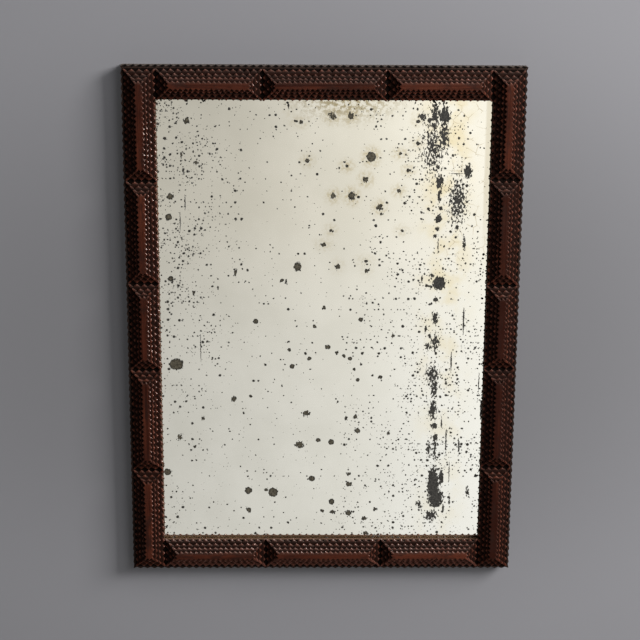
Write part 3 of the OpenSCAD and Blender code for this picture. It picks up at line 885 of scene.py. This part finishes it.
def block_layers(block):
    """A block's carved pieces, from the base up: name, CAD node, low and high corner."""
    first = block + "_first_layer"
    second = block + "_second_layer"
    upper = block + "_third_layer_and_cap"
    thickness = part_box(first)[1].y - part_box(first)[0].y
    low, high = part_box(upper)
    step_in = Vector((CAP_STEP, 0.0, CAP_STEP))
    third_low = Vector((low.x, high.y - thickness, low.z))
    cap_high = Vector((high.x, low.y + thickness, high.z))
    return (
        (first, first, *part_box(first)),
        (second, second, *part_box(second)),
        (block + "_third_layer", upper, third_low, high),
        (block + "_cap", upper, low + step_in, cap_high - step_in),
    )


def mark_grain(mesh, traits, chance):
    """Gives a carved piece its own grain, middle, size and other traits."""
    points = np.array([vertex.co for vertex in mesh.vertices])
    low = points.min(0)
    high = points.max(0)
    lies_across = high[0] - low[0] > high[2] - low[2]
    order = (0, 2, 1) if lies_across else (2, 0, 1)
    offset = [chance.uniform(-GRAIN_SPREAD, GRAIN_SPREAD) for _ in range(3)]
    vectors = {
        "grain_place": points[:, order] + offset, "from_middle": points - (low + high) / 2,
        "half_size": np.tile((high - low) / 2, (len(points), 1)),
    }
    for name, values in vectors.items():
        attribute = mesh.attributes.new(name, "FLOAT_VECTOR", "POINT")
        attribute.data.foreach_set("vector", values.astype(np.float32).ravel())
    for name, value in traits.items():
        attribute = mesh.attributes.new(name, "FLOAT", "POINT")
        attribute.data.foreach_set("value", np.full(len(points), value, np.float32))


def carve_layer(tree, name, layer, low, high, seed, chance, wood):
    """One layer of a block as a new object, a little out of true, its carving and arrises still live."""
    width = high.x - low.x
    height = high.z - low.z
    pitch = NOTCH_PITCHES[layer]
    depth = NOTCH_DEPTHS[layer]
    slip = LAYER_SLIP if layer else 0.0
    piece = bpy.data.objects.new(name + "_carved", bpy.data.meshes.new(name + "_carved"))
    scene.collection.objects.link(piece)
    carving = piece.modifiers.new("carving", "NODES")
    carving.node_group = tree
    set_inputs(carving, {
        "Width": width, "Height": height, "Thickness": high.y - low.y,
        "Notches Across": notch_count(width, pitch), "Notches Up": notch_count(height, pitch),
        "Notch Depth": depth, "Corner Land": CORNER_LAND, "Slant": SLANT * depth,
        "Slant Depth": SLANT_DEPTH * SLANT * depth, "Unevenness": HAND_UNEVEN, "Seed": seed,
        "Centre": (
            (low.x + high.x) / 2 + chance.uniform(-slip, slip), high.y,
            (low.z + high.z) / 2 + chance.uniform(-slip, slip),
        ),
        "Turn": chance.uniform(-LAYER_TURN, LAYER_TURN) if layer else 0.0, "Wood": wood,
    })
    arris = piece.modifiers.new("arris", "BEVEL")
    arris.width = ARRIS
    arris.segments = 1
    arris.limit_method = "ANGLE"
    arris.angle_limit = ARRIS_ANGLE
    arris.use_clamp_overlap = True
    return piece


def layer_traits(side, number, layer, chance):
    """How light, covered and polished one layer of a block is, whether its lower side is made lighter, and
    how much painted shade its upper end gets.
    """
    covered = layer < len(NOTCH_PITCHES) - 1
    return {
        "tone": chance.uniform(*COVERED_TONES) if covered else FLAT_TONES[side][number],
        "covered": float(covered), "polish": POLISH[side], "lower_side_lightened": float(covered and side == "bottom"),
        "end_shade": END_SHADE[number] if side in ("left", "right") else 0.0,
    }


def carve_blocks(wood):
    """Every carved layer as a piece of its own."""
    tree = carved_layer_tree(notched_side_tree())
    chance = random.Random(CARVER_SEED)
    made = []
    for side, count in BLOCKS.items():
        for number in range(count):
            for layer, (name, node, low, high) in enumerate(block_layers(f"{side}_block_{number + 1}")):
                piece = carve_layer(tree, name, layer, low, high, len(made), chance, wood)
                made.append((piece, node, layer_traits(side, number, layer, chance)))
    graph = bpy.context.evaluated_depsgraph_get()
    meshes = [bpy.data.meshes.new_from_object(piece.evaluated_get(graph)) for piece, *_ in made]
    for (piece, node, traits), mesh in zip(made, meshes):
        piece.modifiers.clear()
        mesh.name = piece.name
        piece.data = mesh
        mark_grain(mesh, traits, chance)
        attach(piece, "frame")
        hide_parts(node)


# Other pieces

def silvered_plate(material):
    """The silver as it is seen, a little behind the glass's front, with ground edges."""
    low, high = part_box("mirror_plate")
    low.y += SILVER_BEHIND
    solid = bmesh.new()
    bmesh.ops.create_cube(solid, size=1.0, matrix=Matrix.LocRotScale((low + high) / 2, None, high - low))
    bmesh.ops.bevel(solid, geom=solid.edges[:], offset=SILVER_ARRIS, segments=2, affect="EDGES")
    mesh = bpy.data.meshes.new("silvered_plate")
    solid.to_mesh(mesh)
    solid.free()
    mesh.materials.append(material)
    piece = bpy.data.objects.new("silvered_plate", mesh)
    scene.collection.objects.link(piece)
    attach(piece, "frame")
    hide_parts("mirror_plate")


def dress(material, *nodes):
    """Gives CAD nodes their material."""
    for node in nodes:
        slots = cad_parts[node].data.materials
        slots.clear()
        slots.append(material)


# Stage, light and camera

def plain_plane(name, corners, material):
    """A flat piece of the stage."""
    mesh = bpy.data.meshes.new(name)
    mesh.from_pydata(corners, [], [tuple(range(len(corners)))])
    mesh.materials.append(material)
    plane = bpy.data.objects.new(name, mesh)
    scene.collection.objects.link(plane)


def wall_paint():
    """Grey wall that only the camera sees, from the front, so that the back can be looked at; painted
    darker near the frame, and glowing faintly to lighten its shadows.
    """
    near_shade_grey = (0.195, 0.195, 0.209)
    far_grey = (0.272, 0.272, 0.294)
    material, tree, shader = new_material("grey_wall")
    place = add(tree, "ShaderNodeTexCoord").outputs["Object"]
    # Painted shade: darker near the frame, lighter further off
    away = vector_distance(tree, place, (0.0, 0.0, 0.0), (0.6, 1.0, 1.0))
    colour = blend_colour(tree, step(tree, away, 0.12, 0.36), near_shade_grey, far_grey)
    plug(tree, shader.inputs["Base Color"], colour)
    shader.inputs["Roughness"].default_value = 0.9
    shader.inputs["Specular IOR Level"].default_value = 0.1
    # A faint glow that stands in for fill light in the wall's shadows
    shader.inputs["Emission Color"].default_value = (1.0, 1.0, 1.06, 1.0)
    shader.inputs["Emission Strength"].default_value = 0.026
    camera_ray = tree.nodes.new("ShaderNodeLightPath").outputs["Is Camera Ray"]
    behind = tree.nodes.new("ShaderNodeNewGeometry").outputs["Backfacing"]
    seen = times(tree, camera_ray, minus(tree, 1.0, behind))
    mix_surface(tree, seen, tree.nodes.new("ShaderNodeBsdfTransparent"), shader)
    return material


def floor_paint():
    """Floor that is pale to the eye, dim in the light that it gives back, and ivory in the mirror."""
    unseen = (0.0, 0.0, 0.0)
    pale = (0.55, 0.54, 0.51)
    near_ivory = (1.0, 0.985, 0.93)
    far_ivory = (1.0, 0.955, 0.85)
    material, tree, shader = new_material("pale_floor")
    path = tree.nodes.new("ShaderNodeLightPath").outputs
    shader.inputs["Base Color"].default_value = (0.24, 0.235, 0.22, 1.0)
    plug(tree, shader.inputs["Emission Color"], blend_colour(tree, path["Is Camera Ray"], unseen, pale))
    shader.inputs["Emission Strength"].default_value = 1.0
    shader.inputs["Roughness"].default_value = 0.9
    shader.inputs["Specular IOR Level"].default_value = 0.1
    flat = separate(tree, add(tree, "ShaderNodeTexCoord").outputs["Object"])
    # Painted reflection: in the mirror the floor glows, brighter to the right, in place of a room lit from
    # the right
    glow = add(tree, "ShaderNodeEmission", {
        "Color": blend_colour(tree, step(tree, flat["Y"], -1.8, -6.0), near_ivory, far_ivory),
        "Strength": step(tree, flat["X"], -0.75, 1.05, 0.55, 1.06),
    })
    straight = calc(tree, "LESS_THAN", path["Diffuse Depth"], 0.5)
    mix_surface(tree, times(tree, path["Is Singular Ray"], straight), shader, glow)
    return material


def soft_lamp(name, place, size, power, colour=(1.0, 1.0, 1.0)):
    """A square soft lamp that looks at the frame's middle."""
    lamp = bpy.data.lights.new(name, "AREA")
    lamp.shape = "SQUARE"
    lamp.size = size
    lamp.energy = power
    lamp.color = colour
    holder = bpy.data.objects.new(name, lamp)
    holder.location = place
    holder.rotation_mode = "QUATERNION"
    holder.rotation_quaternion = (-Vector(place)).to_track_quat("-Z", "Y")
    scene.collection.objects.link(holder)


def set_stage():
    """A wall behind the frame, a floor below it, a dim room and three soft lamps."""
    plain_plane("grey_wall", [
        (-WALL_HALF, WALL_GAP, FLOOR_Z), (WALL_HALF, WALL_GAP, FLOOR_Z),
        (WALL_HALF, WALL_GAP, WALL_TOP), (-WALL_HALF, WALL_GAP, WALL_TOP),
    ], wall_paint())
    plain_plane("pale_floor", [
        (-FLOOR_HALF, -FLOOR_HALF, FLOOR_Z), (FLOOR_HALF, -FLOOR_HALF, FLOOR_Z),
        (FLOOR_HALF, FLOOR_HALF, FLOOR_Z), (-FLOOR_HALF, FLOOR_HALF, FLOOR_Z),
    ], floor_paint())
    world = bpy.data.worlds.new("room")
    world.use_nodes = True
    scene.world = world
    tree = world.node_tree
    tree.nodes.clear()
    path = tree.nodes.new("ShaderNodeLightPath").outputs
    seen = most(tree, path["Is Camera Ray"], path["Is Transmission Ray"])
    strength = calc(tree, "MULTIPLY_ADD", seen, SKY_SEEN - SKY_LIGHT, SKY_LIGHT)
    sky = add(tree, "ShaderNodeBackground", {"Color": (1.0, 0.99, 0.97), "Strength": strength})
    output = tree.nodes.new("ShaderNodeOutputWorld")
    tree.links.new(sky.outputs[0], output.inputs["Surface"])
    soft_lamp("window", place=(1.9, -1.28, 1.27), size=1.0, power=84.0, colour=(1.0, 0.985, 0.96))
    soft_lamp("room_light", place=(1.2, -2.5, 1.3), size=1.2, power=20.0)
    soft_lamp("light_behind", place=(0.0, 2.4, -0.2), size=0.6, power=55.0)


def set_camera():
    """A camera at the fitted place, turned, tilted and rolled as fitted."""
    camera = bpy.data.cameras.new("camera")
    camera.sensor_width = SENSOR_WIDTH
    camera.lens = FOCAL_PIXELS / IMAGE_SIZE * SENSOR_WIDTH
    holder = bpy.data.objects.new("camera", camera)
    scene.collection.objects.link(holder)
    level_forward = Vector((math.sin(CAMERA_TURN), math.cos(CAMERA_TURN), 0.0))
    forward = math.cos(CAMERA_TILT) * level_forward - math.sin(CAMERA_TILT) * Vector((0.0, 0.0, 1.0))
    level_right = Vector((math.cos(CAMERA_TURN), -math.sin(CAMERA_TURN), 0.0))
    level_up = level_right.cross(forward)
    right = math.cos(CAMERA_ROLL) * level_right + math.sin(CAMERA_ROLL) * level_up
    up = math.cos(CAMERA_ROLL) * level_up - math.sin(CAMERA_ROLL) * level_right
    turn = Matrix((right, up, -forward)).transposed()
    holder.matrix_world = Matrix.Translation(CAMERA_PLACE) @ turn.to_4x4()
    scene.camera = holder


set_camera()
set_stage()
carve_blocks(carved_wood())
silvered_plate(spotted_silver())
dress(base_wood("base_wood_upright", GRAIN_UP), "left_stile", "right_stile")
dress(base_wood("base_wood_level", GRAIN_ACROSS), "top_rail", "bottom_rail")
dress(back_wood(), "back_board")
brad_iron = old_metal("brad_iron", bright=(0.16, 0.15, 0.14), dull=(0.09, 0.05, 0.03), roughness=0.45)
dress(brad_iron, "back_board_brads")
hanger_brass = old_metal(
    "hanger_brass", bright=(0.62, 0.43, 0.17), dull=(0.22, 0.15, 0.07), roughness=0.28,
)
dress(hanger_brass, "left_hanger_strap", "right_hanger_strap", "left_hanger_ring", "right_hanger_ring")
screw_steel = old_metal("screw_steel", bright=(0.45, 0.44, 0.42), dull=(0.20, 0.16, 0.12), roughness=0.3)
dress(screw_steel, "hanger_screws")

scene.view_settings.view_transform = "Standard"
